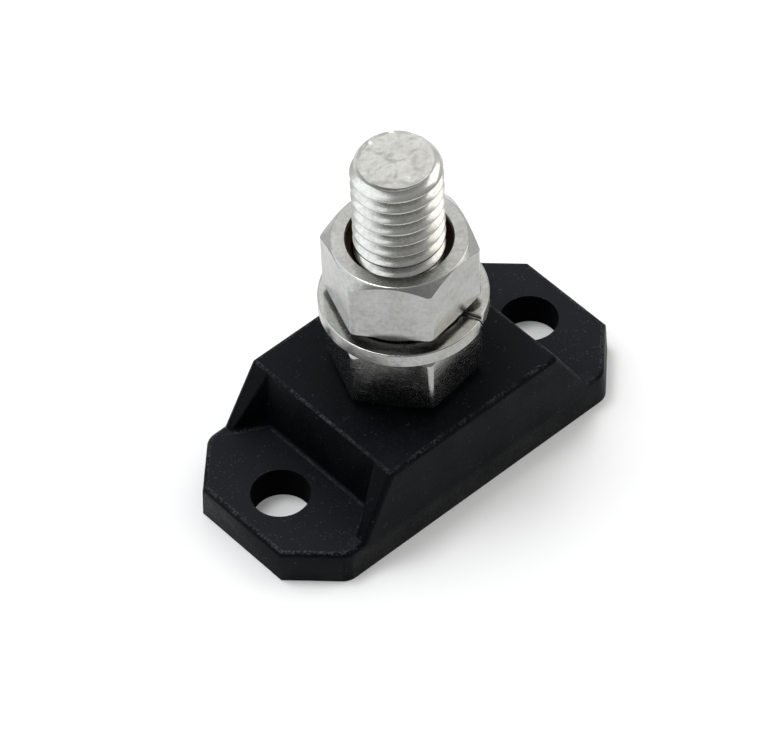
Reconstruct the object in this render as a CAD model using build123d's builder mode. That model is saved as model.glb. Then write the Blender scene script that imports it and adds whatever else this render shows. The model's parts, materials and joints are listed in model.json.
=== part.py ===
from build123d import *
from math import cos, radians, tan
import os

# A battery terminal post: a black moulded base with two screw flanges, a steel
# stud standing up through it, a clamp nut screwed tight on the block, and a
# second nut over a split lock washer for fastening a cable lug.
# X runs along the base, Y across it and Z up the stud. The underside of the
# base lies on Z = 0 and the stud's axis is the Z axis. Lengths are in mm.

# Base
base_length = 46.1
base_width = 22.3
flange_thickness = 4.0
corner_cut = 5.0
corner_round = 2.0
block_top = 11.3
draft_angle = 1.7
gusset_foot_x = 15.7
end_face_x = 12.2
end_face_lean = 5.0
gusset_wall = 3.35
gusset_foot_wall = 0.8
edge_round = 0.6
foot_round = 0.5
gusset_round = 0.3
hole_spacing = 35.0
hole_diameter = 6.3

# Stud, a hexagon-headed bolt pushed up from below
stud_diameter = 9.52
stud_top = 41.2
stud_point_run = 0.75
stud_point_rise = 1.1
groove_width = 1.6
groove_depth = 0.4
groove_sink = 0.8
head_across_flats = 14.2
head_height = 6.0
head_sink = 0.4
head_gap = 0.1
base_bore_gap = 0.2

# Nuts
nut_across_flats = 14.3
nut_height = 8.3
nut_ring_inset = 0.08
nut_top_drop = 1.1
nut_bottom_drop = 0.4
nut_corner_round = 0.6
nut_bore_gap = 0.05
nut_mouth_radius = 5.6
nut_mouth_depth = 1.8
clamp_nut_turn = 8.5
terminal_nut_turn = 9.6

# Split lock washer
washer_outer_radius = 8.8
washer_inner_radius = 5.1
washer_thickness = 1.5
washer_rise = 0.5
split_turn = -64.0
split_gap = 0.6
split_slant = 15.0

slope_run = (block_top - flange_thickness) * tan(radians(end_face_lean))
gusset_top_x = end_face_x - slope_run
recess_reach_x = gusset_foot_x + 1.0
recess_inner_y = base_width / 2 - gusset_wall
recess_outer_y = base_width / 2 - gusset_foot_wall
pocket_top = head_sink + head_height
washer_bottom = block_top + nut_height
terminal_nut_bottom = washer_bottom + washer_thickness + washer_rise
terminal_nut_top = terminal_nut_bottom + nut_height
bore_radius = stud_diameter / 2 + nut_bore_gap
ring_radius = nut_across_flats / 2 - nut_ring_inset
corner_radius = nut_across_flats / 2 / cos(radians(30))

# The moulding starts as one drafted prism with its upright corners cut off.
with BuildPart() as base:
    with BuildSketch():
        Rectangle(base_length, base_width)
    extrude(amount=block_top, taper=draft_angle)
    upright_corners = base.edges().filter_by(lambda e: abs(e.tangent_at(0.5).Z) > 0.9)
    chamfer(upright_corners, corner_cut)

    # Both ends are taken down to the flange along the slope of the gussets.
    with BuildSketch(Plane.XZ):
        with BuildLine():
            Polyline(
                (gusset_top_x, block_top),
                (gusset_foot_x, flange_thickness),
                (base_length, flange_thickness),
                (base_length, block_top + 1),
                (gusset_top_x, block_top + 1),
                close=True,
            )
        make_face()
        mirror(about=Plane.YZ)
    extrude(amount=base_width, both=True, mode=Mode.SUBTRACT)

    # Each long side runs into the corner cuts in a soft upright round, and every
    # outer edge above the underside is eased.
    side_uprights = base.edges().filter_by(
        lambda e: abs(e.tangent_at(0.5).Z) > 0.9 and abs(e.center().Y) > base_width / 2 - 1
    )
    fillet(side_uprights, corner_round)
    outer_edges = base.edges().filter_by(
        lambda e: e.center().Z > flange_thickness - 0.1
        and abs(abs(e.center().X) - gusset_foot_x) > 0.2
    )
    fillet(outer_edges, edge_round)

    # Between its two gussets each end of the block is cut back to a leaning face.
    with BuildSketch(Plane.XY.offset(flange_thickness)):
        with BuildLine():
            Polyline(
                (end_face_x, -recess_inner_y),
                (recess_reach_x, -recess_outer_y),
                (recess_reach_x, recess_outer_y),
                (end_face_x, recess_inner_y),
                close=True,
            )
        make_face()
        mirror(about=Plane.YZ)
    extrude(amount=block_top, taper=-end_face_lean, mode=Mode.SUBTRACT)
    foot_edges = base.edges().filter_by(
        lambda e: abs(e.center().Z - flange_thickness) < 0.01
        and abs(e.center().X) < gusset_foot_x - 0.1
    )
    fillet(foot_edges, foot_round)
    sloping_edges = base.edges().filter_by(
        lambda e: abs(e.tangent_at(0.5).Z) < 0.95
        and flange_thickness + edge_round < e.center().Z < block_top - edge_round
    )
    inner_gusset_edges = sloping_edges.sort_by(lambda e: abs(e.center().Y))[:4]
    fillet(inner_gusset_edges, gusset_round)

    # One screw hole through each flange.
    with Locations((-hole_spacing / 2, 0, 0), (hole_spacing / 2, 0, 0)):
        Cylinder(hole_diameter / 2, 3 * flange_thickness, mode=Mode.SUBTRACT)

    # The pocket in the underside holds the stud's head, and a bore leads the
    # shank up through the block.
    with BuildSketch():
        RegularPolygon(head_across_flats / 2 + head_gap, 6, major_radius=False, rotation=0)
    extrude(amount=pocket_top, mode=Mode.SUBTRACT)
    with BuildSketch():
        Circle(stud_diameter / 2 + base_bore_gap)
    extrude(amount=block_top, mode=Mode.SUBTRACT)

# The stud is drawn at the outside diameter of its thread. One groove of the
# thread is cut as a ring where the stud leaves the terminal nut, and marks off
# the free end.
with BuildPart() as stud:
    with BuildSketch(Plane.XY.offset(head_sink)):
        RegularPolygon(head_across_flats / 2, 6, major_radius=False, rotation=0)
    extrude(amount=head_height)
    with BuildSketch(Plane.XY.offset(pocket_top)):
        Circle(stud_diameter / 2)
    extrude(amount=stud_top - pocket_top)
    end_face = stud.faces().sort_by(Axis.Z)[-1]
    chamfer(end_face.edges(), stud_point_run, stud_point_rise, reference=end_face)
    with BuildSketch(Plane.XY.offset(terminal_nut_top - groove_sink)):
        Circle(stud_diameter / 2)
        Circle(stud_diameter / 2 - groove_depth, mode=Mode.SUBTRACT)
    extrude(amount=groove_width, mode=Mode.SUBTRACT)

# The profile that turns a hexagon bar into a nut blank: both faces are cut back
# to a round ring, well down at the top and only lightly underneath.
with BuildSketch(Plane.XZ) as blank_profile:
    with BuildLine():
        Polyline(
            (0, 0),
            (ring_radius, 0),
            (corner_radius, nut_bottom_drop),
            (corner_radius, nut_height - nut_top_drop),
            (ring_radius, nut_height),
            (0, nut_height),
            close=True,
        )
    make_face()

# The bore of a nut, opened to a cone at both faces.
with BuildSketch(Plane.XZ) as bore_profile:
    with BuildLine():
        Polyline(
            (0, 0),
            (nut_mouth_radius, 0),
            (bore_radius, nut_mouth_depth),
            (bore_radius, nut_height - nut_mouth_depth),
            (nut_mouth_radius, nut_height),
            (0, nut_height),
            close=True,
        )
    make_face()

with BuildPart() as clamp_nut:
    with BuildSketch():
        RegularPolygon(nut_across_flats / 2, 6, major_radius=False, rotation=clamp_nut_turn)
    extrude(amount=nut_height)
    fillet(clamp_nut.edges().filter_by(Axis.Z), nut_corner_round)
    revolve(blank_profile.sketch, axis=Axis.Z, mode=Mode.INTERSECT)
    revolve(bore_profile.sketch, axis=Axis.Z, mode=Mode.SUBTRACT)

with BuildPart() as terminal_nut:
    with BuildSketch():
        RegularPolygon(nut_across_flats / 2, 6, major_radius=False, rotation=terminal_nut_turn)
    extrude(amount=nut_height)
    fillet(terminal_nut.edges().filter_by(Axis.Z), nut_corner_round)
    revolve(blank_profile.sketch, axis=Axis.Z, mode=Mode.INTERSECT)
    revolve(bore_profile.sketch, axis=Axis.Z, mode=Mode.SUBTRACT)

# The lock washer is one turn of flat bar wound as a shallow helix and cut through
# on a slant, so that one end rests low and the other presses up under the nut.
with BuildPart() as lock_washer:
    with BuildLine() as coil:
        Helix(washer_rise, washer_rise, (washer_outer_radius + washer_inner_radius) / 2)
    with BuildSketch(Plane(origin=coil.line @ 0, x_dir=(1, 0, 0), z_dir=coil.line % 0)):
        Rectangle(washer_outer_radius - washer_inner_radius, washer_thickness)
    sweep(path=coil.line, is_frenet=True)
    with Locations(Location((washer_outer_radius, 0, washer_rise / 2), (split_slant, 0, 0))):
        Box(washer_outer_radius * 1.5, split_gap, 8 * washer_thickness, mode=Mode.SUBTRACT)

clamp_nut.part.locate(Location((0, 0, block_top)))
terminal_nut.part.locate(Location((0, 0, terminal_nut_bottom)))
lock_washer.part.locate(Location((0, 0, washer_bottom + washer_thickness / 2), (0, 0, split_turn)))

os.makedirs("parts", exist_ok=True)

base.part.label = "base"
export_step(base.part, "parts/base.step")
stud.part.label = "stud"
export_step(stud.part, "parts/stud.step")
clamp_nut.part.label = "clamp_nut"
export_step(clamp_nut.part, "parts/clamp_nut.step")
lock_washer.part.label = "lock_washer"
export_step(lock_washer.part, "parts/lock_washer.step")
terminal_nut.part.label = "terminal_nut"
export_step(terminal_nut.part, "parts/terminal_nut.step")
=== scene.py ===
# %% [markdown]
# # A battery terminal post
# A black moulded base carries an upright steel stud, a clamp nut, a split lock washer and a
# terminal nut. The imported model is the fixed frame: every piece made here goes where its node is,
# in metres, with the stud's axis on Z and the base's underside at Z = 0. The box of the packed
# model is noted first, so that it can be compared with the dressed one at the end.

# %% Load the frame
import json
from math import cos, hypot, pi, radians, sin, tan

import bpy
from mathutils import Matrix, Vector

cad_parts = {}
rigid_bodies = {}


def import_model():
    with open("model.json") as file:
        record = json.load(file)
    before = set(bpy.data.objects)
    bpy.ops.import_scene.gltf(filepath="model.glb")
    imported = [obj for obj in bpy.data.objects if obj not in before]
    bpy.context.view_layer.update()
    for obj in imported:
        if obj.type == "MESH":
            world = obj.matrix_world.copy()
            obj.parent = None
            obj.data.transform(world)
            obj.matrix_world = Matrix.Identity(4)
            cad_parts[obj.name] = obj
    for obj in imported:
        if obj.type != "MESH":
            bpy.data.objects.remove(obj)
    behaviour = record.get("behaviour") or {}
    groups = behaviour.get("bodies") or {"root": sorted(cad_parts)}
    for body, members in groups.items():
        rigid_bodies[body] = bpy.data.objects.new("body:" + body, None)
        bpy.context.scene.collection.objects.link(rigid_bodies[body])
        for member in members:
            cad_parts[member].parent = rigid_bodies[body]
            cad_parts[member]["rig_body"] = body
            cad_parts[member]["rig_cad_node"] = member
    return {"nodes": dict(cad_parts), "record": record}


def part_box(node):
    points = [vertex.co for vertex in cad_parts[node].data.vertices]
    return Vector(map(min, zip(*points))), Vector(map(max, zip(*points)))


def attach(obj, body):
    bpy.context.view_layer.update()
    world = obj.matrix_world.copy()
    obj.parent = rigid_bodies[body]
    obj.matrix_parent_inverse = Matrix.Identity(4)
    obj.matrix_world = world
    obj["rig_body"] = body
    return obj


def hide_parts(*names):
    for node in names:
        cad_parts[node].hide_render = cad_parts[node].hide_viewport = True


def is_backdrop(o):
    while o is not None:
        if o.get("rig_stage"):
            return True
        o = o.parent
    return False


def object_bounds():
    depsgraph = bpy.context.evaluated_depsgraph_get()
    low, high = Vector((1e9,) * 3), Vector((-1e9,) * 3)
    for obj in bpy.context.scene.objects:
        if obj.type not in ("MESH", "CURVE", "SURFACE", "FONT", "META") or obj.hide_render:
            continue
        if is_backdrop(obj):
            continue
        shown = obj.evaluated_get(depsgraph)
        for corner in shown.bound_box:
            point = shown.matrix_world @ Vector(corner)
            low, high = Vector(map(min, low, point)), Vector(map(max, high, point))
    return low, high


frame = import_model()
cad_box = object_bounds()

MM = 0.001
bpy.context.scene.view_settings.view_transform = "Standard"
print("nodes:", sorted(frame["nodes"]))

# %% [markdown]
# ## Sizes taken from the frame
# The steel pieces are made anew, so their heights and places on the stud are read off the boxes of
# their nodes. The thread's pitch comes from the joints: the coupling says how far the terminal nut
# travels for each radian of its turn.

# %% Read the sizes
pitch = frame["record"]["behaviour"]["couplings"][0]["ratio"] * 2 * pi
stud_low, stud_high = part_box("stud")
clamp_low, clamp_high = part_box("clamp_nut")
washer_low, washer_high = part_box("lock_washer")
nut_low, nut_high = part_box("terminal_nut")
print(f"thread pitch {pitch / MM:.4f} mm")
for name, low, high in (
    ("stud", stud_low, stud_high), ("clamp nut", clamp_low, clamp_high),
    ("lock washer", washer_low, washer_high), ("terminal nut", nut_low, nut_high),
):
    print(f"{name}: z {low.z / MM:.2f} to {high.z / MM:.2f} mm")

# %% [markdown]
# ## Turning and winding
# Screws, nuts and washers are round work. They could be modelled from cylinders, but a lathe
# works from an outline, and so do these steps: half an outline beside the stud's axis is drawn by
# extruding one point, and the Screw modifier carries it round. With a rise it winds a thread or a
# spring washer, and without one it turns a blank.

# %% Helpers for round work
def draw_outline(name, points):
    """A line through points of (radius, height), drawn by extruding one vertex in the XZ plane."""
    bpy.ops.object.select_all(action="DESELECT")
    bpy.ops.mesh.primitive_plane_add(size=MM)
    outline = bpy.context.object
    outline.name = name
    bpy.ops.object.mode_set(mode="EDIT")
    bpy.ops.mesh.select_mode(type="VERT")
    bpy.ops.mesh.merge(type="CENTER")
    bpy.ops.transform.translate(value=(points[0][0], 0, points[0][1]))
    for (radius, height), (next_radius, next_height) in zip(points, points[1:]):
        step = (next_radius - radius, 0, next_height - height)
        bpy.ops.mesh.extrude_vertices_move(TRANSFORM_OT_translate={"value": step})
    bpy.ops.object.mode_set(mode="OBJECT")
    return outline


def wind(outline, steps, rise=0.0, turns=1, angle=2 * pi):
    """Carries an outline round the Z axis, and up by rise in each turn."""
    screw = outline.modifiers.new("wind", "SCREW")
    screw.angle = angle
    screw.screw_offset = rise
    screw.iterations = turns
    screw.steps = steps
    screw.render_steps = steps
    bpy.ops.object.modifier_apply(modifier=screw.name)
    print(f"{outline.name}: wound {turns} x {steps} steps")


WELD = 0.001 * MM


def close_and_face_out():
    """Joins what meets, fills open ends and turns every face outwards on the active piece."""
    bpy.ops.object.mode_set(mode="EDIT")
    bpy.ops.mesh.select_all(action="SELECT")
    bpy.ops.mesh.remove_doubles(threshold=WELD)
    bpy.ops.mesh.fill_holes(sides=0)
    bpy.ops.mesh.select_all(action="SELECT")
    bpy.ops.mesh.normals_make_consistent(inside=False)
    bpy.ops.object.mode_set(mode="OBJECT")


BLANK_STEPS = 97


def turned_blank(name, points):
    """A solid of revolution: its outline starts and ends on the axis."""
    blank = draw_outline(name, points)
    wind(blank, BLANK_STEPS)
    close_and_face_out()
    return blank


# %% [markdown]
# ## Taking one shape out of another
# A milling cutter and a tap take one exact shape out of another. The Boolean modifier with its
# exact solver does the same, and it is applied at once, so that the finished piece is a plain
# closed mesh. Each finished piece is measured, because an open edge would show a failed cut.

# %% Helpers for cutting and measuring
def combine(piece, tool, operation):
    """Applies one exact boolean to piece, and removes the tool."""
    bpy.ops.object.select_all(action="DESELECT")
    bpy.context.view_layer.objects.active = piece
    piece.select_set(True)
    boolean = piece.modifiers.new("combine", "BOOLEAN")
    boolean.operation = operation
    boolean.solver = "EXACT"
    boolean.object = tool
    bpy.ops.object.modifier_apply(modifier=boolean.name)
    print(f"{piece.name}: {operation.lower()} with {tool.name}")
    bpy.data.objects.remove(tool)


def report(piece):
    """Prints the size of a finished piece and how many of its edges aren't closed."""
    mesh = piece.data
    faces_at_edge = {}
    for polygon in mesh.polygons:
        for key in polygon.edge_keys:
            faces_at_edge[key] = faces_at_edge.get(key, 0) + 1
    open_edges = sum(1 for count in faces_at_edge.values() if count != 2)
    heights = [vertex.co.z / MM for vertex in mesh.vertices]
    triangles = sum(len(polygon.vertices) - 2 for polygon in mesh.polygons)
    print(f"{piece.name}: {triangles} triangles, {open_edges} open edges, "
          f"z {min(heights):.2f} to {max(heights):.2f} mm")


SHARP_ANGLE = radians(32)


def finish_shading(piece):
    """Rounds blend, flats stay flat and sharp edges stay sharp."""
    bpy.ops.object.select_all(action="DESELECT")
    bpy.context.view_layer.objects.active = piece
    piece.select_set(True)
    bpy.ops.object.shade_smooth_by_angle(angle=SHARP_ANGLE)
    even = piece.modifiers.new("even shading", "WEIGHTED_NORMAL")
    even.keep_sharp = True
    bpy.ops.object.modifier_apply(modifier=even.name)
    report(piece)


# %% [markdown]
# ## The thread
# The stud and the nuts share one 60 degree thread form, 16 turns to the inch. Rings or a bump
# pattern would be simpler, but the slant of a real helix, its run-out at the tip and its dark
# roots all show here. The tap that cuts the nuts is the same helix, a little larger all round, so
# that the nut's thread stays clear of the stud's at every turn of the joint.

# %% The thread form
MAJOR_RADIUS = 4.73 * MM
THREAD_DEPTH = 0.93 * MM
CREST_FLAT = 0.16 * MM
CREST_ROUND = 0.06 * MM
ROOT_RISE = 0.08 * MM
ROOT_INSET = 0.04 * MM
ROOT_ROUND = 0.05 * MM
FLANK_RUN = THREAD_DEPTH * tan(radians(30))


def thread_outline(room=0.0):
    """One pitch of the thread from root to root, as (radius, height) points."""
    half_crest = CREST_FLAT / 2 + room
    crest = MAJOR_RADIUS + room
    root = crest - THREAD_DEPTH
    middle = pitch / 2
    upper_half = [
        (crest, 0.5 * half_crest),
        (crest - 0.15 * CREST_ROUND, half_crest),
        (crest - CREST_ROUND, half_crest + 0.8 * CREST_ROUND),
        (crest - 0.5 * THREAD_DEPTH, half_crest + 0.5 * FLANK_RUN),
        (root + ROOT_RISE, half_crest + FLANK_RUN - ROOT_INSET),
        (root, half_crest + FLANK_RUN + ROOT_ROUND),
    ]
    lower = [(radius, middle - height) for radius, height in reversed(upper_half)]
    upper = [(radius, middle + height) for radius, height in upper_half]
    return [(root, 0)] + lower + upper + [(root, pitch)]


print(f"thread: {THREAD_DEPTH / MM:.2f} mm deep, crest flat {CREST_FLAT / MM:.2f} mm")

# %% [markdown]
# A rod of any length is wound from whole turns that are counted from Z = 0, so the stud and the
# tap are in phase, and its two ends are cut flat with Bisect, which also fills them.

# %% Wind a threaded rod
THREAD_STEPS = 96


def trim(height, **side):
    """Cuts all of the active mesh level at a height, and fills the cut."""
    bpy.ops.mesh.select_all(action="SELECT")
    bpy.ops.mesh.bisect(plane_co=(0, 0, height), plane_no=(0, 0, 1), use_fill=True, **side)


def threaded_rod(name, low, high, room=0.0):
    """A rod with the thread all along it."""
    first_turn = int(low / pitch) - 1
    turns_needed = int(high / pitch) + 2 - first_turn
    points = [(radius, height + first_turn * pitch) for radius, height in thread_outline(room)]
    rod = draw_outline(name, points)
    wind(rod, THREAD_STEPS, rise=pitch, turns=turns_needed)
    bpy.ops.object.mode_set(mode="EDIT")
    bpy.ops.mesh.select_all(action="SELECT")
    bpy.ops.mesh.remove_doubles(threshold=WELD)
    trim(low, clear_inner=True)
    trim(high, clear_outer=True)
    bpy.ops.mesh.select_all(action="SELECT")
    bpy.ops.mesh.normals_make_consistent(inside=False)
    bpy.ops.object.mode_set(mode="OBJECT")
    return rod


# %% [markdown]
# ## The hexagons
# The stud's head and both nuts are cut from hexagon bar. The bar is a six-sided cylinder with its
# upright corners bevelled. A turned blank then takes the corners well down at the top, which gives
# the curved upper edge that a nut has on its flats, and underneath it leaves the flats short of a
# round collar that the nut bears on, which shows as a dark line under the nut. The blank also
# carries the small eased edge round the top ring, which shows as a bright line.

# %% Hexagon blanks
RING_EASE = 0.16 * MM
UNDERSIDE_SLOPE = 0.12
CORNER_SEGMENTS = 5
OVERCUT = MM


def bevel_upright_edges(bar, corner_round):
    """Bevels the edges that stand upright, so that each corner is rounded by corner_round."""
    bpy.ops.object.mode_set(mode="EDIT")
    bpy.ops.mesh.select_mode(type="EDGE")
    bpy.ops.mesh.select_all(action="DESELECT")
    bpy.ops.object.mode_set(mode="OBJECT")
    for edge in bar.data.edges:
        start, end = (bar.data.vertices[index].co for index in edge.vertices)
        edge.select = abs(start.z - end.z) > MM
    bpy.ops.object.mode_set(mode="EDIT")
    bpy.ops.mesh.bevel(offset=corner_round * tan(radians(30)), segments=CORNER_SEGMENTS)
    bpy.ops.object.mode_set(mode="OBJECT")


def hexagon_blank(name, across_flats, low, high, turn, ring_inset, top_drop, corner_round,
                  collar_radius, collar_height):
    """A hexagon with rounded corners, its top turned back to a ring and a collar underneath."""
    corner = across_flats / 2 / cos(radians(30))
    bpy.ops.object.select_all(action="DESELECT")
    bpy.ops.mesh.primitive_cylinder_add(
        vertices=6, radius=corner, depth=high - low + 2 * OVERCUT,
        location=(0, 0, (low + high) / 2), rotation=(0, 0, turn + radians(30)))
    bar = bpy.context.object
    bar.name = name
    bpy.ops.object.transform_apply()
    bevel_upright_edges(bar, corner_round)
    ring = across_flats / 2 - ring_inset
    reach = corner + OVERCUT
    top_slope = top_drop / (corner - ring)
    blank = turned_blank("blank", [
        (0, low),
        (collar_radius, low),
        (collar_radius, low + collar_height),
        (reach, low + collar_height + UNDERSIDE_SLOPE * (reach - collar_radius)),
        (reach, high - top_slope * (reach - ring)),
        (ring + 0.3 * RING_EASE, high - RING_EASE * top_slope),
        (ring - 0.35 * RING_EASE, high - 0.4 * RING_EASE),
        (ring - RING_EASE, high),
        (0, high),
    ])
    combine(bar, blank, "INTERSECT")
    return bar


# %% [markdown]
# ## The stud's tip
# The stud is a hexagon-headed bolt pushed up from below. Its end was cut off rough and pressed, so
# the face is dished, dented and ringed by a small burr, and the first turn of thread fades into
# the lead. A bump map would give the dents in a picture but not in the mesh, so the tip is turned
# with many rings across its face, and a cloud pattern presses the face down. The three points of
# the burr stand a few hundredths of a millimetre higher than the dished face.

# %% Turn the tip
LEAD_RUN = 0.75 * MM
LEAD_RISE = 1.1 * MM
FACE_RINGS = 16
DISH = 0.06 * MM
HEAD_HEIGHT = 6.0 * MM
HEAD_OVERLAP = 0.5 * MM
head_top = stud_low.z + HEAD_HEIGHT
face_radius = MAJOR_RADIUS - LEAD_RUN
face_outline = [
    (face_radius * ring / FACE_RINGS, stud_high.z - DISH + 0.5 * DISH * (ring / FACE_RINGS) ** 4)
    for ring in range(FACE_RINGS)
]
burr = [
    (MAJOR_RADIUS - 0.97 * LEAD_RUN, stud_high.z - 0.05 * MM),
    (face_radius - 0.02 * MM, stud_high.z - 0.005 * MM),
    (face_radius - 0.12 * MM, stud_high.z - 0.01 * MM),
]
tip = turned_blank("tip", [
    (0, head_top - HEAD_OVERLAP),
    (MAJOR_RADIUS + OVERCUT, head_top - HEAD_OVERLAP),
    (MAJOR_RADIUS + OVERCUT, stud_high.z - LEAD_RISE * (LEAD_RUN + OVERCUT) / LEAD_RUN),
] + burr + face_outline[::-1])
print(f"tip: its face is {2 * face_radius / MM:.2f} mm across")

# %% [markdown]
# The dents fade out towards the rim. A vertex group holds how much of them each point of the face
# takes, and Displace reads it.

# %% Dent the face
RIM_WEIGHT = 0.25
RIM_REACH = 0.25 * MM
FACE_BAND = 0.3 * MM
DENT_SIZE = 1.3 * MM
DENT_STRENGTH = 0.27 * MM
dented = tip.vertex_groups.new(name="face")
for vertex in tip.data.vertices:
    rim_distance = face_radius + RIM_REACH - hypot(vertex.co.x, vertex.co.y)
    if vertex.co.z > stud_high.z - FACE_BAND and rim_distance > 0:
        dented.add([vertex.index], min(1.0, RIM_WEIGHT + rim_distance / MM), "REPLACE")
dents = bpy.data.textures.new("dents", "CLOUDS")
dents.noise_scale = DENT_SIZE
dents.noise_depth = 1
pressing = tip.modifiers.new("pressing", "DISPLACE")
pressing.texture = dents
pressing.direction = "Z"
pressing.mid_level = 0.6
pressing.strength = DENT_STRENGTH
pressing.vertex_group = dented.name
bpy.ops.object.modifier_apply(modifier=pressing.name)
report(tip)

# %% [markdown]
# ## The stud
# A die cuts the thread on the shank and leaves the head as it is. Here the threaded rod is
# intersected with the tip, which gives the thread its run-out, and the head is joined on below.
# The head's corners and its ring are only lightly broken, because it sits unseen in its pocket.

# %% Cut the stud
HEAD_ACROSS_FLATS = 14.2 * MM
HEAD_RING_INSET = 0.1 * MM
HEAD_EASE = 0.3 * MM
HEAD_CORNER_ROUND = 0.4 * MM
stud = threaded_rod("threaded_stud", head_top - OVERCUT, stud_high.z + OVERCUT)
combine(stud, tip, "INTERSECT")
head = hexagon_blank(
    "head", HEAD_ACROSS_FLATS, stud_low.z, head_top, 0, HEAD_RING_INSET, HEAD_EASE,
    HEAD_CORNER_ROUND, HEAD_ACROSS_FLATS / 2 - HEAD_EASE, HEAD_EASE)
combine(stud, head, "UNION")
finish_shading(stud)

# %% [markdown]
# ## The two nuts
# Both nuts are the same size and only their turn differs. The tap cuts the thread, and a second
# turned blank opens the mouths at both faces. The mouths are steep, so the gap beside the stud
# looks nearly black, as it does on the real one.

# %% Helpers for the nuts
MOUTH_RADIUS = 5.6 * MM
MOUTH_DEPTH = 1.8 * MM
THREAD_ROOM = 0.06 * MM
MOUTH_OVERLAP = 0.3 * MM
CORE_RADIUS = 3.0 * MM


def nut_mouths(low, high):
    """The blank that opens both mouths: two cones joined by a core inside the bore."""
    bore = MAJOR_RADIUS + THREAD_ROOM
    flare = (MOUTH_RADIUS - bore) / MOUTH_DEPTH
    lower_end = low + MOUTH_DEPTH + MOUTH_OVERLAP / flare
    upper_end = high - MOUTH_DEPTH - MOUTH_OVERLAP / flare
    return turned_blank("mouths", [
        (0, low - OVERCUT),
        (MOUTH_RADIUS + flare * OVERCUT, low - OVERCUT),
        (bore - MOUTH_OVERLAP, lower_end),
        (CORE_RADIUS, lower_end),
        (CORE_RADIUS, upper_end),
        (bore - MOUTH_OVERLAP, upper_end),
        (MOUTH_RADIUS + flare * OVERCUT, high + OVERCUT),
        (0, high + OVERCUT),
    ])


print(f"mouths {2 * MOUTH_RADIUS / MM:.1f} mm across and {MOUTH_DEPTH / MM:.1f} mm deep")

# %% [markdown]
# Each nut is a blank, tapped and then opened. The turns are those of the photograph, where the
# terminal nut stands about one degree further round than the clamp nut.

# %% Make the nuts
NUT_ACROSS_FLATS = 14.3 * MM
NUT_CORNER_ROUND = 0.7 * MM
NUT_RING_INSET = 0.08 * MM
NUT_TOP_DROP = 1.1 * MM
COLLAR_RADIUS = 6.75 * MM
COLLAR_HEIGHT = 0.72 * MM
CLAMP_TURN = radians(8.5)
TERMINAL_TURN = radians(9.6)


def make_nut(name, low, high, turn):
    """A nut between two heights, its flats turned from the X axis."""
    nut = hexagon_blank(
        name, NUT_ACROSS_FLATS, low, high, turn, NUT_RING_INSET, NUT_TOP_DROP,
        NUT_CORNER_ROUND, COLLAR_RADIUS, COLLAR_HEIGHT)
    tap = threaded_rod("tap", low - OVERCUT, high + OVERCUT, room=THREAD_ROOM)
    combine(nut, tap, "DIFFERENCE")
    combine(nut, nut_mouths(low, high), "DIFFERENCE")
    finish_shading(nut)
    return nut


clamp_nut = make_nut("clamp_hexagon", clamp_low.z, clamp_high.z, CLAMP_TURN)
terminal_nut = make_nut("terminal_hexagon", nut_low.z, nut_high.z, TERMINAL_TURN)

# %% [markdown]
# ## The lock washer
# A spring washer is flat bar coiled once and sawn through on a slant, so one end stands higher
# than the other. The coil is left-handed, so that its ends bite when a right-handed nut is turned
# loose. Its section is a plane with rounded corners, wound once round from the high end down to
# the low one.

# %% Coil the washer
WASHER_INNER_RADIUS = 5.1 * MM
WASHER_OUTER_RADIUS = 8.8 * MM
WASHER_THICKNESS = 1.7 * MM
WASHER_RISE = 0.3 * MM
WASHER_EDGE = 0.16 * MM
WASHER_STEPS = 144
END_MARGIN = radians(0.1)
whole_turn = 2 * pi - 2 * END_MARGIN
middle_radius = (WASHER_INNER_RADIUS + WASHER_OUTER_RADIUS) / 2

bpy.ops.object.select_all(action="DESELECT")
bpy.ops.mesh.primitive_plane_add(
    size=1, rotation=(pi / 2, 0, 0),
    location=(middle_radius, 0, washer_high.z - WASHER_THICKNESS / 2))
washer = bpy.context.object
washer.name = "split_washer"
washer.scale = (WASHER_OUTER_RADIUS - WASHER_INNER_RADIUS, WASHER_THICKNESS, 1)
bpy.ops.object.transform_apply()
bpy.ops.object.mode_set(mode="EDIT")
bpy.ops.mesh.select_mode(type="VERT")
bpy.ops.mesh.select_all(action="SELECT")
bpy.ops.mesh.bevel(offset=WASHER_EDGE, segments=3, affect="VERTICES")
bpy.ops.mesh.delete(type="ONLY_FACE")
bpy.ops.object.mode_set(mode="OBJECT")
wind(washer, WASHER_STEPS, rise=-WASHER_RISE * whole_turn / (2 * pi), angle=whole_turn)
close_and_face_out()

# %% [markdown]
# A thin slanted box saws the two ends. The nut has squeezed the washer, so the slit is nearly
# closed. The sharp edges that the saw leaves are bevelled, and at last the washer is turned to
# where the photograph shows its slit, and moved a little off the stud's centre, within its play.

# %% Saw and place the washer
SPLIT_TURN = radians(-67.8)
SPLIT_GAP = 0.12 * MM
SPLIT_SLANT = radians(24)
SAWN_EDGE = 0.06 * MM
SAWN_ANGLE = radians(40)
WASHER_PLAY = (0.23 * MM, 0.02 * MM, 0)


def turn_mesh(angle):
    """Turns what is selected clockwise about the Z axis, seen from above."""
    bpy.ops.transform.rotate(value=angle, orient_axis="Z", center_override=(0, 0, 0))


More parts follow.
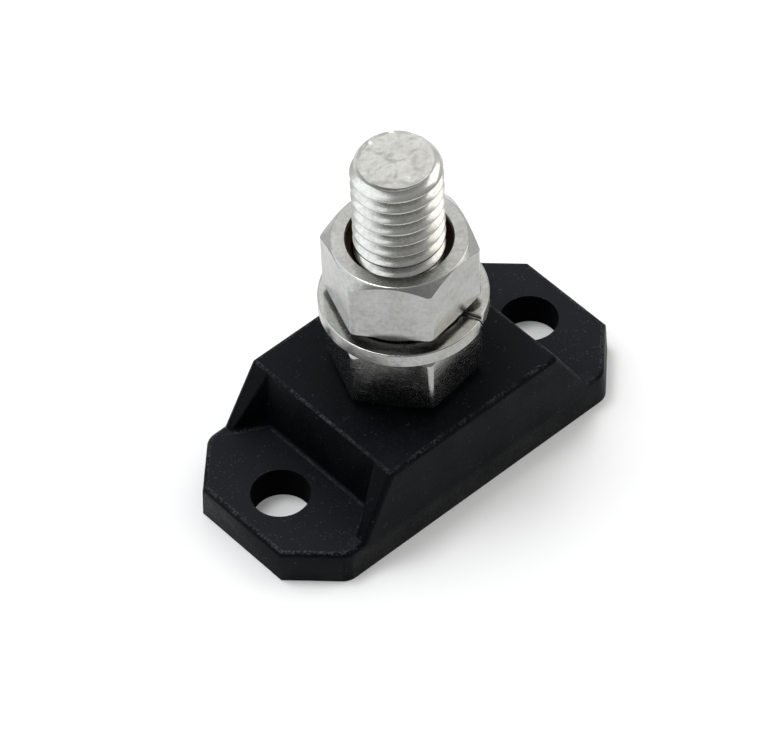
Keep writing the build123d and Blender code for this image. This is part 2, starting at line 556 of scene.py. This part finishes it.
bpy.ops.object.mode_set(mode="EDIT")
bpy.ops.mesh.select_all(action="SELECT")
turn_mesh(-END_MARGIN)
bpy.ops.object.mode_set(mode="OBJECT")
bpy.ops.object.select_all(action="DESELECT")
bpy.ops.mesh.primitive_cube_add(
    size=1, rotation=(SPLIT_SLANT, 0, 0),
    location=(WASHER_OUTER_RADIUS, 0, washer_low.z + (WASHER_THICKNESS + WASHER_RISE) / 2),
    scale=(1.5 * WASHER_OUTER_RADIUS, SPLIT_GAP, 8 * WASHER_THICKNESS))
saw = bpy.context.object
saw.name = "saw"
combine(washer, saw, "DIFFERENCE")
bpy.ops.object.mode_set(mode="EDIT")
bpy.ops.mesh.select_all(action="DESELECT")
bpy.ops.mesh.select_mode(type="EDGE")
bpy.ops.mesh.edges_select_sharp(sharpness=SAWN_ANGLE)
bpy.ops.mesh.bevel(offset=SAWN_EDGE, segments=2)
bpy.ops.mesh.select_all(action="SELECT")
turn_mesh(-SPLIT_TURN)
bpy.ops.transform.translate(value=WASHER_PLAY)
bpy.ops.object.mode_set(mode="OBJECT")
finish_shading(washer)

# %% [markdown]
# ## The moulded base
# The base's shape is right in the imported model. Its mesh is loose triangles, so a copy is merged
# and shaded smooth by angle, which makes the small rounds catch the light as rounds, and the copy
# stands for the node.

# %% Smooth the base
MOULDING_WELD = 0.0005 * MM
bpy.ops.object.select_all(action="DESELECT")
moulding = frame["nodes"]["base"].copy()
moulding.data = moulding.data.copy()
moulding.name = "moulded_base"
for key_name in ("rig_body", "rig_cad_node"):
    del moulding[key_name]
moulding.parent = None
bpy.context.scene.collection.objects.link(moulding)
moulding.select_set(True)
bpy.context.view_layer.objects.active = moulding
bpy.ops.object.mode_set(mode="EDIT")
bpy.ops.mesh.select_mode(type="VERT")
bpy.ops.mesh.select_all(action="SELECT")
bpy.ops.mesh.remove_doubles(threshold=MOULDING_WELD)
bpy.ops.object.mode_set(mode="OBJECT")
finish_shading(moulding)

# %% [markdown]
# Handling wears a moulding on the upper side of its rounded edges, and there the rounds also get a
# painted highlight; the walls of its screw holes get painted shade and stay dull; and dust lies on
# what faces up. These places could be painted by hand, but they are known by their shape: a flat
# face shares its direction with much area and a round one doesn't, and a hole's wall keeps one
# distance from its axis. They are marked in three attributes that the finish reads.

# %% Tell round faces from flat ones
FLAT_FACE_AREA = 6 * MM * MM


def facing(polygon):
    """The direction of a face, rounded so that one flat side gives one answer."""
    return tuple(round(component, 1) for component in polygon.normal)


area_facing = {}
for polygon in moulding.data.polygons:
    area_facing[facing(polygon)] = area_facing.get(facing(polygon), 0) + polygon.area
round_faces = {
    polygon.index for polygon in moulding.data.polygons
    if area_facing[facing(polygon)] < FLAT_FACE_AREA
}
print("rounded faces:", len(round_faces))

# %% [markdown]
# Each of these attributes holds one value for each corner of each face. All three are added before
# any is filled, because adding one makes the handles of the others stale.

# %% Mark wear with painted highlight, painted hole shade and dust
HOLE_POSITION = 17.5 * MM
HOLE_RADIUS = 3.15 * MM
UNDERSIDE_TOP = MM
FOOT_TOP = 4.6 * MM
FOOT_REACH = 14.5 * MM
BLOCK_TOP = 11.2 * MM
FLANGE_DUST = 1.0
BLOCK_DUST = 0.6
LEVEL = 0.95
SHEEN_WEAR_START = 0.6
SHEEN_WEAR_SPAN = 0.25
RECESS_SHEEN_WEAR = 0.5


def scuffs_and_sheen_of(polygon, in_hole):
    """Painted highlight and scuffs: full on nearly level rounds, none on steep ones, half in the recess.
    """
    if in_hole or polygon.index not in round_faces or polygon.center.z <= UNDERSIDE_TOP:
        return 0.0
    sheen_wear = min(1.0, max(0.0, (polygon.normal.z - SHEEN_WEAR_START) / SHEEN_WEAR_SPAN))
    in_recess = polygon.center.z < FOOT_TOP and abs(polygon.center.x) < FOOT_REACH
    return RECESS_SHEEN_WEAR * sheen_wear if in_recess else sheen_wear


def dust_of(polygon):
    """Much dust on the flanges, less on the block, none on what isn't level."""
    if polygon.normal.z > LEVEL and UNDERSIDE_TOP < polygon.center.z < FOOT_TOP:
        return FLANGE_DUST
    if polygon.normal.z > LEVEL and polygon.center.z > BLOCK_TOP:
        return BLOCK_DUST
    return 0.0


# The first mark is scuffs with a painted highlight on upper rounds, the second painted shade in the
# holes, the third dust.
marks = ("scuffs_and_sheen", "hole_shade", "dusty")
for mark in marks:
    moulding.data.attributes.new(mark, "FLOAT", "CORNER")
scuffs_and_sheen, hole_shade, dusty = (moulding.data.attributes[mark] for mark in marks)
for polygon in moulding.data.polygons:
    hole_distance = hypot(abs(polygon.center.x) - HOLE_POSITION, polygon.center.y)
    in_hole = hole_distance < HOLE_RADIUS + 0.01 * MM
    sheen_wear = scuffs_and_sheen_of(polygon, in_hole)
    dust = dust_of(polygon)
    for corner_index in polygon.loop_indices:
        scuffs_and_sheen.data[corner_index].value = sheen_wear
        hole_shade.data[corner_index].value = float(in_hole)
        dusty.data[corner_index].value = dust
print("worn corners:", sum(1 for corner in scuffs_and_sheen.data if corner.value > 0))
print("dusty corners:", sum(1 for corner in dusty.data if corner.value > 0))

# %% [markdown]
# ## Bodies and nodes
# Each new piece rides on the body that carries it and stands for the node that it was made from,
# which is hidden. The table also names a material slot for each piece, which is not read here. The
# washer and the terminal nut have bodies of their own, because the nut turns with the washer and
# travels up the stud.

# %% Put the pieces on their bodies
for piece, body, node, slot in (
    (moulding, "post", "base", "black_plastic"),
    (stud, "post", "stud", "stud_steel"),
    (clamp_nut, "post", "clamp_nut", "nut_steel"),
    (washer, "washer", "lock_washer", "washer_steel"),
    (terminal_nut, "nut", "terminal_nut", "nut_steel"),
):
    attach(piece, body)
    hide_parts(node)
    print(f"{piece.name} rides on {body} and stands for {node}")

# %% [markdown]
# ## Shader tools
# Every finish here is procedural and reads Object coordinates, which stay with the piece when it
# moves. Nodes are added by short helpers, and each effect that more than one finish uses is a
# node group with named inputs and outputs, built once.

# %% Helpers that add nodes
def add_node(tree, kind, **settings):
    """Adds a node and sets its properties and the defaults of its named inputs."""
    node = tree.nodes.new(kind)
    for key, value in settings.items():
        if key in node.inputs:
            node.inputs[key].default_value = value
        else:
            setattr(node, key, value)
    return node


def feed(tree, value, socket):
    """Links a value to a socket if it is one itself, and sets it if it is a number."""
    if isinstance(value, (int, float)):
        socket.default_value = value
    else:
        tree.links.new(value, socket)


def new_group(name, inputs, outputs):
    """A shader node group with named float, colour or vector sockets."""
    group = bpy.data.node_groups.new(name, "ShaderNodeTree")
    kinds = {"float": "NodeSocketFloat", "color": "NodeSocketColor", "vector": "NodeSocketVector"}
    for label, kind, default in inputs:
        socket = group.interface.new_socket(label, in_out="INPUT", socket_type=kinds[kind])
        if default is not None:
            socket.default_value = default
    for label, kind in outputs:
        group.interface.new_socket(label, in_out="OUTPUT", socket_type=kinds[kind])
    print(f"group {name}: {len(inputs)} inputs, {len(outputs)} outputs")
    return group, group.nodes.new("NodeGroupInput"), group.nodes.new("NodeGroupOutput")


# %% [markdown]
# A finish is mostly noise, moved onto another span, reckoned with and used as a mask between two
# colours. Each of these is one call.

# %% Helpers for patterns and masks
def noise(tree, vector, scale, detail=4.0, roughness=0.55):
    """Noise of so many cells to the metre."""
    node = add_node(tree, "ShaderNodeTexNoise", Scale=scale, Detail=detail, Roughness=roughness)
    tree.links.new(vector, node.inputs["Vector"])
    return node.outputs["Fac"]


def remap(tree, value, low, high, to_low=0.0, to_high=1.0):
    """Moves the span low to high of a value onto another span."""
    node = tree.nodes.new("ShaderNodeMapRange")
    spans = (("From Min", low), ("From Max", high), ("To Min", to_low), ("To Max", to_high))
    for label, number in spans:
        feed(tree, number, node.inputs[label])
    tree.links.new(value, node.inputs["Value"])
    return node.outputs["Result"]


def calculate(tree, operation, first, second=0.0):
    """One sum with two values, each a socket or a number."""
    node = tree.nodes.new("ShaderNodeMath")
    node.operation = operation
    feed(tree, first, node.inputs[0])
    feed(tree, second, node.inputs[1])
    return node.outputs["Value"]


def blend_colors(tree, factor, first, second):
    """Mixes two colours by a mask; a colour may be a socket or three numbers."""
    node = tree.nodes.new("ShaderNodeMix")
    node.data_type = "RGBA"
    tree.links.new(factor, node.inputs["Factor"])
    for label, value in (("A", first), ("B", second)):
        socket = [s for s in node.inputs if s.name == label and s.type == "RGBA"][0]
        if isinstance(value, bpy.types.NodeSocket):
            tree.links.new(value, socket)
        else:
            socket.default_value = (*value, 1)
    return [s for s in node.outputs if s.type == "RGBA"][0]


# %% [markdown]
# ### Uneven tarnish
# Plated steel is never one grey. Soft patches of a few millimetres drift between a lighter and a
# darker tone, with a finer crinkle over them, and the same mask changes the roughness a little.

# %% Tarnish group
CRINKLES_PER_METRE = 2300.0
PATCH_SHARE = 0.6
CRINKLE_SHARE = 0.4
tarnish, tarnish_in, tarnish_out = new_group(
    "tarnish",
    [("Vector", "vector", None),
     ("Light", "color", (0.5, 0.5, 0.5, 1)), ("Dark", "color", (0.3, 0.3, 0.3, 1)),
     ("Patches per metre", "float", 300.0), ("Contrast", "float", 0.25),
     ("Smooth", "float", 0.25), ("Rough", "float", 0.45)],
    [("Color", "color"), ("Roughness", "float")],
)
patch_noise = add_node(tarnish, "ShaderNodeTexNoise", Detail=6.0, Roughness=0.62)
tarnish.links.new(tarnish_in.outputs["Vector"], patch_noise.inputs["Vector"])
tarnish.links.new(tarnish_in.outputs["Patches per metre"], patch_noise.inputs["Scale"])
half_contrast = calculate(tarnish, "MULTIPLY", tarnish_in.outputs["Contrast"], 0.5)
patch_mask = remap(
    tarnish, patch_noise.outputs["Fac"],
    calculate(tarnish, "SUBTRACT", 0.5, half_contrast), calculate(tarnish, "ADD", 0.5, half_contrast))
crinkle = remap(
    tarnish, noise(tarnish, tarnish_in.outputs["Vector"], CRINKLES_PER_METRE, detail=2.0), 0.4, 0.64)
tarnish_mask = calculate(
    tarnish, "ADD", calculate(tarnish, "MULTIPLY", patch_mask, PATCH_SHARE),
    calculate(tarnish, "MULTIPLY", crinkle, CRINKLE_SHARE))
tarnish.links.new(
    blend_colors(tarnish, tarnish_mask, tarnish_in.outputs["Light"], tarnish_in.outputs["Dark"]),
    tarnish_out.inputs["Color"])
tarnish.links.new(
    remap(tarnish, tarnish_mask, 0.0, 1.0, tarnish_in.outputs["Smooth"], tarnish_in.outputs["Rough"]),
    tarnish_out.inputs["Roughness"])

# %% [markdown]
# ### Fine scratches
# Handling and the spanner leave fine lines. Noise that is stretched a long way along one direction
# gives them, and a Mapping node turns that direction for each finish.

# %% Scratch group
scratches, scratches_in, scratches_out = new_group(
    "fine_scratches",
    [("Vector", "vector", None), ("Along", "vector", (300, 300, 6000)),
     ("Turn", "vector", (0, 0, 0))],
    [("Mask", "float"), ("Height", "float")],
)
stretch = add_node(scratches, "ShaderNodeMapping")
scratches.links.new(scratches_in.outputs["Vector"], stretch.inputs["Vector"])
scratches.links.new(scratches_in.outputs["Along"], stretch.inputs["Scale"])
scratches.links.new(scratches_in.outputs["Turn"], stretch.inputs["Rotation"])
scratch_noise = noise(scratches, stretch.outputs["Vector"], 1.0, detail=3.0, roughness=0.7)
scratches.links.new(remap(scratches, scratch_noise, 0.56, 0.72), scratches_out.inputs["Mask"])
scratches.links.new(scratch_noise, scratches_out.inputs["Height"])

# %% [markdown]
# ### Near the stud
# Painted shade lies near the stud: a dark brown, dull colour in the gap between the stud and each
# nut, and on the block round the nut the dust is taken away, so that its top stays darker there.
# Both depend on how far a place is from the stud's axis, so one group works out that distance and
# makes a ring-shaped mask of it, which fades out at a given radius. The mask is round, so it stays
# in a nut's bore at every turn of the nut.

# %% Group for places near the stud
near_stud, near_stud_in, near_stud_out = new_group(
    "near_the_stud",
    [("Vector", "vector", None), ("Clear from radius", "float", 5.6 * MM),
     ("Fade", "float", 0.15 * MM)],
    [("Mask", "float")],
)
axes = add_node(near_stud, "ShaderNodeSeparateXYZ")
near_stud.links.new(near_stud_in.outputs["Vector"], axes.inputs["Vector"])
radius_squared = calculate(
    near_stud, "ADD",
    calculate(near_stud, "MULTIPLY", axes.outputs["X"], axes.outputs["X"]),
    calculate(near_stud, "MULTIPLY", axes.outputs["Y"], axes.outputs["Y"]))
axis_distance = calculate(near_stud, "POWER", radius_squared, 0.5)
clear_radius = near_stud_in.outputs["Clear from radius"]
inner_edge = calculate(near_stud, "SUBTRACT", clear_radius, near_stud_in.outputs["Fade"])
near_stud.links.new(
    remap(near_stud, axis_distance, inner_edge, clear_radius, 1.0, 0.0),
    near_stud_out.inputs["Mask"])

# %% [markdown]
# Inside a material, a group is one node. It gets the Object coordinates and its own values.

# %% Put a group in a material
def place_group(tree, group, vector, **values):
    """Adds a group to a material, fed with coordinates. A name's _ stands for a space."""
    node = add_node(tree, "ShaderNodeGroup", node_tree=group)
    tree.links.new(vector, node.inputs["Vector"])
    for label, value in values.items():
        node.inputs[label.replace("_", " ")].default_value = value
    return node


def add_bump(tree, height, strength, distance, below=None):
    """A bump of a given height, over the bump that lies below it."""
    bump = add_node(tree, "ShaderNodeBump", Strength=strength, Distance=distance)
    tree.links.new(height, bump.inputs["Height"])
    if below:
        tree.links.new(below, bump.inputs["Normal"])
    return bump.outputs["Normal"]


# %% [markdown]
# ## The steel finishes
# One function builds a steel from the groups. Forging leaves the surface faintly lumpy, which is a
# soft bump, and the scratches lie over it as a finer one. A scratch is as light as the lightest
# tone. The painted shade in the gap beside the stud is dark brown, dull and rough.

# %% One steel from the groups
SCRATCH_BLEND = 0.35
SCRATCH_ROUGHNESS = 0.08
# Painted shade for the gap beside the stud: a dark brown colour, dull and rough.
GAP_SHADE_COLOR = (0.05, 0.024, 0.012)
GAP_SHADE_ROUGHNESS = 0.6
GAP_SHADE_FADE = 0.15 * MM


def make_steel(name, light, dark, patches, smooth, rough, along, turn, lumps, lump_size,
               gap_shade_radius=None):
    """A metal with two tones, a span of roughness, scratches and, inside a radius, brown painted shade.
    """
    material = bpy.data.materials.new(name)
    material.use_nodes = True
    tree = material.node_tree
    shader = tree.nodes["Principled BSDF"]
    shader.inputs["Metallic"].default_value = 1.0
    place = add_node(tree, "ShaderNodeTexCoord").outputs["Object"]

    patchy = place_group(
        tree, tarnish, place, Light=(*light, 1), Dark=(*dark, 1), Patches_per_metre=patches,
        Smooth=smooth, Rough=rough)
    lined = place_group(tree, scratches, place, Along=along, Turn=turn)
    scratched = lined.outputs["Mask"]
    color = blend_colors(
        tree, calculate(tree, "MULTIPLY", scratched, SCRATCH_BLEND), patchy.outputs["Color"], light)
    roughness = calculate(
        tree, "ADD", patchy.outputs["Roughness"],
        calculate(tree, "MULTIPLY", scratched, SCRATCH_ROUGHNESS))
    # Painted shade: inside the radius, beside the stud, the steel turns dark brown and rough.
    if gap_shade_radius:
        gap = place_group(tree, near_stud, place, Clear_from_radius=gap_shade_radius, Fade=GAP_SHADE_FADE)
        gap_shade = gap.outputs["Mask"]
        color = blend_colors(tree, gap_shade, color, GAP_SHADE_COLOR)
        roughness = calculate(
            tree, "MAXIMUM", roughness, calculate(tree, "MULTIPLY", gap_shade, GAP_SHADE_ROUGHNESS))
    tree.links.new(color, shader.inputs["Base Color"])
    tree.links.new(roughness, shader.inputs["Roughness"])

    forged = add_bump(tree, noise(tree, place, lump_size, detail=3.0), lumps, 0.08 * MM)
    lined_normal = add_bump(tree, lined.outputs["Height"], 0.15, 0.012 * MM, below=forged)
    tree.links.new(lined_normal, shader.inputs["Normal"])
    print(f"{name}: {len(tree.nodes)} nodes")
    return material


# %% [markdown]
# The stud is bright and faintly warm, with scratches across its axis from the die. The nuts are a
# duller grey, with scratches on a slant from the spanner, and the washer lies between them. Only
# the nuts and the washer get the brown painted shade beside the stud.

# %% Make the steels
stud_steel = make_steel(
    "stud_steel", (0.55, 0.55, 0.525), (0.44, 0.435, 0.405), 420.0, 0.18, 0.30,
    along=(500, 500, 5000), turn=(0, 0, 0), lumps=0.18, lump_size=900.0)
nut_steel = make_steel(
    "nut_steel", (0.43, 0.432, 0.415), (0.335, 0.332, 0.315), 330.0, 0.15, 0.26,
    along=(250, 250, 2600), turn=(0.5, 0.35, 0), lumps=0.25, lump_size=650.0,
    gap_shade_radius=MOUTH_RADIUS - 0.02 * MM)
washer_steel = make_steel(
    "washer_steel", (0.43, 0.43, 0.41), (0.33, 0.325, 0.305), 380.0, 0.17, 0.28,
    along=(700, 700, 4000), turn=(0, 0, 0), lumps=0.25, lump_size=700.0,
    gap_shade_radius=WASHER_INNER_RADIUS)

# %% [markdown]
# ## The black moulding
# Glass-filled nylon is nearly black and shows itself by its gloss and its skin. Its masks come
# first. Dust lies where the mesh is marked, more towards the ends of the flanges. Round the nut the
# dust is taken away, which is painted shade: the block's top stays darker near the nut. Pale flecks
# are the cells of a Voronoi pattern, few on the whole and many in dusty fields. Scuffs with a
# painted highlight lie on the marked edges, broken up by a fine noise and a coarse one.

# %% Masks of the moulding
# Within this radius round the nut no dust is laid: painted shade that keeps the block's top darker.
NUT_SHADE_RADIUS = 14.5 * MM
NUT_SHADE_FADE = 5.5 * MM
THIN_DUST = 0.55
THIN_DUST_X = 14.0 * MM
FULL_DUST_X = 20.0 * MM
black_plastic = bpy.data.materials.new("black_plastic")
black_plastic.use_nodes = True
tree = black_plastic.node_tree
place = add_node(tree, "ShaderNodeTexCoord").outputs["Object"]
marked = {
    mark: add_node(tree, "ShaderNodeAttribute", attribute_name=mark).outputs["Fac"]
    for mark in marks
}
fine = noise(tree, place, 4200.0, detail=3.0, roughness=0.6)
patches = noise(tree, place, 260.0, detail=3.0)

place_axes = add_node(tree, "ShaderNodeSeparateXYZ")
tree.links.new(place, place_axes.inputs["Vector"])
out_along = calculate(tree, "ABSOLUTE", place_axes.outputs["X"])
toward_end = remap(tree, out_along, THIN_DUST_X, FULL_DUST_X, THIN_DUST, 1.0)
# Painted shade round the nut: the dust is taken away inside the radius.
nut_shade_ring = place_group(tree, near_stud, place, Clear_from_radius=NUT_SHADE_RADIUS, Fade=NUT_SHADE_FADE)
outside_nut_shade = calculate(tree, "SUBTRACT", 1.0, nut_shade_ring.outputs["Mask"])
dust_outside_nut_shade = calculate(
    tree, "MULTIPLY", marked["dusty"], calculate(tree, "MULTIPLY", toward_end, outside_nut_shade))

speck_cells = add_node(tree, "ShaderNodeTexVoronoi", Scale=2900.0)
tree.links.new(place, speck_cells.inputs["Vector"])
specks = remap(tree, speck_cells.outputs["Distance"], 0.12, 0.26, 1.0, 0.0)
fields = noise(tree, place, 900.0, detail=2.0)
few = remap(tree, fields, 0.58, 0.66)
many = calculate(tree, "MULTIPLY", remap(tree, fields, 0.44, 0.6), dust_outside_nut_shade)
speck_mask = calculate(tree, "MULTIPLY", specks, calculate(tree, "MAXIMUM", few, many))

scuff_grain = remap(tree, noise(tree, place, 3600.0), 0.43, 0.66)
scuff_runs = remap(tree, noise(tree, place, 380.0, detail=2.0), 0.34, 0.6)
# Scuffs and painted highlight on the upper side of the rounds.
scuff_and_sheen_mask = calculate(
    tree, "MULTIPLY", marked["scuffs_and_sheen"], calculate(tree, "MULTIPLY", scuff_grain, scuff_runs))
print(f"masks of the moulding: {len(tree.nodes)} nodes")

# %% [markdown]
# The colours go on in the order in which they lie: the skin in slow patches, its fine grain, dust
# with painted shade round the nut, flecks, scuffs with a painted highlight, and over all the painted
# shade of the holes' dull walls. The specular level is low and cool, because matt nylon returns
# little of the studio.

# %% Colour and gloss of the moulding
shader = tree.nodes["Principled BSDF"]
skin = blend_colors(tree, patches, (0.0009, 0.0011, 0.0015), (0.0022, 0.0026, 0.0036))
grained = blend_colors(tree, remap(tree, fine, 0.5, 0.68), skin, (0.0045, 0.0052, 0.0068))
dusted = blend_colors(
    tree, calculate(tree, "MULTIPLY", dust_outside_nut_shade, 0.8), grained, (0.0125, 0.0141, 0.0172))
flecked = blend_colors(tree, speck_mask, dusted, (0.048, 0.050, 0.056))
# Pale scuffs that are also a painted highlight along the rounded edges.
worn_and_sheened = blend_colors(
    tree, calculate(tree, "MULTIPLY", scuff_and_sheen_mask, 0.8), flecked, (0.055, 0.058, 0.062))
# Painted shade: the walls of the screw holes turn near black, and rough below.
tree.links.new(
    blend_colors(tree, marked["hole_shade"], worn_and_sheened, (0.0008, 0.0009, 0.0012)),
    shader.inputs["Base Color"])
shader.inputs["Specular IOR Level"].default_value = 0.06
shader.inputs["Specular Tint"].default_value = (0.82, 0.92, 1.0, 1)
gloss = remap(tree, patches, 0.35, 0.65, 0.38, 0.50)
grained_gloss = calculate(tree, "ADD", gloss, remap(tree, fine, 0.4, 0.6, -0.05, 0.08))
tree.links.new(
    calculate(tree, "MAXIMUM", grained_gloss, calculate(tree, "MULTIPLY", marked["hole_shade"], 0.95)),
    shader.inputs["Roughness"])
cast_grain = add_bump(tree, fine, 0.5, 0.05 * MM)
ripple = add_bump(tree, noise(tree, place, 1100.0, detail=2.0), 0.2, 0.06 * MM, below=cast_grain)
tree.links.new(ripple, shader.inputs["Normal"])
print(f"black_plastic: {len(tree.nodes)} nodes")

# %% [markdown]
# ## Finishes on the pieces
# The two nuts came from one bar and share one steel. The other pieces have a finish each.

# %% Give the finishes to the pieces
for piece, material in (
    (moulding, black_plastic), (stud, stud_steel), (clamp_nut, nut_steel),
    (terminal_nut, nut_steel), (washer, washer_steel),
):
    piece.data.materials.clear()
    piece.data.materials.append(material)
    print(f"{piece.name}: {material.name}")

# %% [markdown]
# ## The camera
# The camera stands where the photograph was taken from. Its angles, distance and focal length were
# fitted to corners of the object whose places are known. It looks down steeply from the front
# left with a long lens, so upright lines hardly lean together.

# %% Place the camera
IMAGE_WIDTH = 781
FOCAL_PIXELS = 5307.2
SENSOR_WIDTH = 36
AZIMUTH = radians(40.062)
ELEVATION = radians(48.835)
ROLL = radians(-2.624)
TARGET = Vector((0, 0, 14.29)) * MM
MM_ASIDE = -1.362
MM_UP = -3.588
MM_BACK = 546.191
back = Vector((-sin(AZIMUTH) * cos(ELEVATION), -cos(AZIMUTH) * cos(ELEVATION), sin(ELEVATION)))
right = Vector((cos(AZIMUTH), -sin(AZIMUTH), 0))
up = back.cross(right)
side = cos(ROLL) * right + sin(ROLL) * up
top = -sin(ROLL) * right + cos(ROLL) * up
bpy.ops.object.camera_add()
camera = bpy.context.object
camera.name = "camera"
bpy.context.scene.camera = camera
camera.data.sensor_width = SENSOR_WIDTH
camera.data.lens = FOCAL_PIXELS / IMAGE_WIDTH * SENSOR_WIDTH
standpoint = TARGET + (MM_ASIDE * side + MM_UP * top + MM_BACK * back) * MM
camera.matrix_world = Matrix.Translation(standpoint) @ Matrix((side, top, back)).transposed().to_4x4()
camera.data.clip_start = 0.05
camera.data.clip_end = 10
print(f"camera: {camera.data.lens:.1f} mm lens, {standpoint.length / MM:.0f} mm away")

# %% [markdown]
# ## The floor
# The photograph has a white ground and a soft light shadow low at the right. The floor is a pale
# plane whose light is lifted a little, for camera, mirror and glass rays alone, so that it turns
# white and keeps the shadow, and the lift adds no light to the object.

# %% Lay the floor
FLOOR_LIFT = 0.09
FLOOR_SINK = 0.05 * MM
bpy.ops.object.select_all(action="DESELECT")
bpy.ops.mesh.primitive_plane_add(size=4, location=(0, 0, -FLOOR_SINK))
floor = bpy.context.object
floor.name = "floor"
bpy.ops.object.transform_apply()
paper = bpy.data.materials.new("white_paper")
paper.use_nodes = True
tree = paper.node_tree
shader = tree.nodes["Principled BSDF"]
shader.inputs["Roughness"].default_value = 0.9
shader.inputs["Specular IOR Level"].default_value = 0.0
place = add_node(tree, "ShaderNodeTexCoord").outputs["Object"]
tree.links.new(
    blend_colors(tree, noise(tree, place, 20.0), (0.88, 0.88, 0.88), (0.9, 0.9, 0.9)),
    shader.inputs["Base Color"])
rays = add_node(tree, "ShaderNodeLightPath")
mirrored = calculate(tree, "MAXIMUM", rays.outputs["Is Glossy Ray"], rays.outputs["Is Transmission Ray"])
seen = calculate(tree, "MAXIMUM", rays.outputs["Is Camera Ray"], mirrored)
shader.inputs["Emission Color"].default_value = (1, 1, 1, 1)
tree.links.new(calculate(tree, "MULTIPLY", seen, FLOOR_LIFT), shader.inputs["Emission Strength"])
floor.data.materials.append(paper)
floor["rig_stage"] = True
print(f"floor: {floor.dimensions.x:.0f} m across, lifted by {FLOOR_LIFT}")

# %% [markdown]
# ## The lamps
# Metal shows what stands round it, so the lamps are broad panels, and each has its work. The left
# and the right one give the bright flanks of the stud, cool and warm. The one behind lights the
# stud's face and the nut's ring. A small one high above throws the shadow and draws the bright
# line on the rim of the nut. A panel's brightness is given as it looks in a mirror, and its power
# follows from its area.

# %% Hang the light panels
def light_panel(name, azimuth, elevation, distance, width, height, radiance, color):
    """A soft panel facing the object. Azimuth is from +X towards +Y."""
    toward = Vector((
        cos(radians(elevation)) * cos(radians(azimuth)),
        cos(radians(elevation)) * sin(radians(azimuth)),
        sin(radians(elevation)),
    ))
    bpy.ops.object.light_add(type="AREA", location=toward * distance)
    panel = bpy.context.object
    panel.name = name
    panel.data.shape = "RECTANGLE"
    panel.data.size = width
    panel.data.size_y = height
    panel.data.energy = radiance * pi * width * height
    panel.data.color = color
    panel.rotation_mode = "QUATERNION"
    panel.rotation_quaternion = toward.to_track_quat("Z", "Y")
    print(f"{name}: {panel.data.energy:.2f} W")


light_panel("left_panel", 130, 50, 0.9, 0.9, 0.85, 1.15, (0.91, 0.975, 1.0))
light_panel("right_panel", 340, 42, 0.9, 0.5, 0.6, 1.6, (1.0, 0.965, 0.93))
light_panel("back_panel", 50, 50, 1.0, 0.4, 0.4, 0.5, (1.0, 1.0, 1.0))
light_panel("overhead_lamp", 105, 74, 0.9, 0.26, 0.26, 11.0, (1.0, 1.0, 1.0))

# %% [markdown]
# ## The sky
# The world is a plain soft light that is dimmer on the camera's side of the studio. The thread in
# the middle of the stud faces that way, which gives the darker band down the stud. The direction
# is fixed in the world, so it stays where it is in other views.

# %% Light the sky
SKY_BRIGHT = 0.9
SKY_DIM = 0.25
world = bpy.data.worlds.new("studio")
bpy.context.scene.world = world
world.use_nodes = True
tree = world.node_tree
direction = add_node(tree, "ShaderNodeTexCoord").outputs["Generated"]
toward_front = add_node(tree, "ShaderNodeVectorMath", operation="DOT_PRODUCT")
tree.links.new(direction, toward_front.inputs[0])
toward_front.inputs[1].default_value = (-sin(AZIMUTH), -cos(AZIMUTH), 0)
brightness = remap(tree, toward_front.outputs["Value"], -0.7, 0.75, SKY_BRIGHT, SKY_DIM)
tree.links.new(
    blend_colors(tree, brightness, (0, 0, 0), (1, 1, 1)),
    tree.nodes["Background"].inputs["Color"])
print(f"sky: {SKY_BRIGHT} behind the object, {SKY_DIM} in front of it")

# %% [markdown]
# ## The two boxes
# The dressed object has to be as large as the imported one. Its box is taken now and written down
# beside the first one.

# %% Write the sizes
visual_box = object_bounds()
for box_name, (low, high) in (("packed", cad_box), ("dressed", visual_box)):
    print(f"{box_name} box:", " x ".join(f"{(b - a) / MM:.2f}" for a, b in zip(low, high)), "mm")
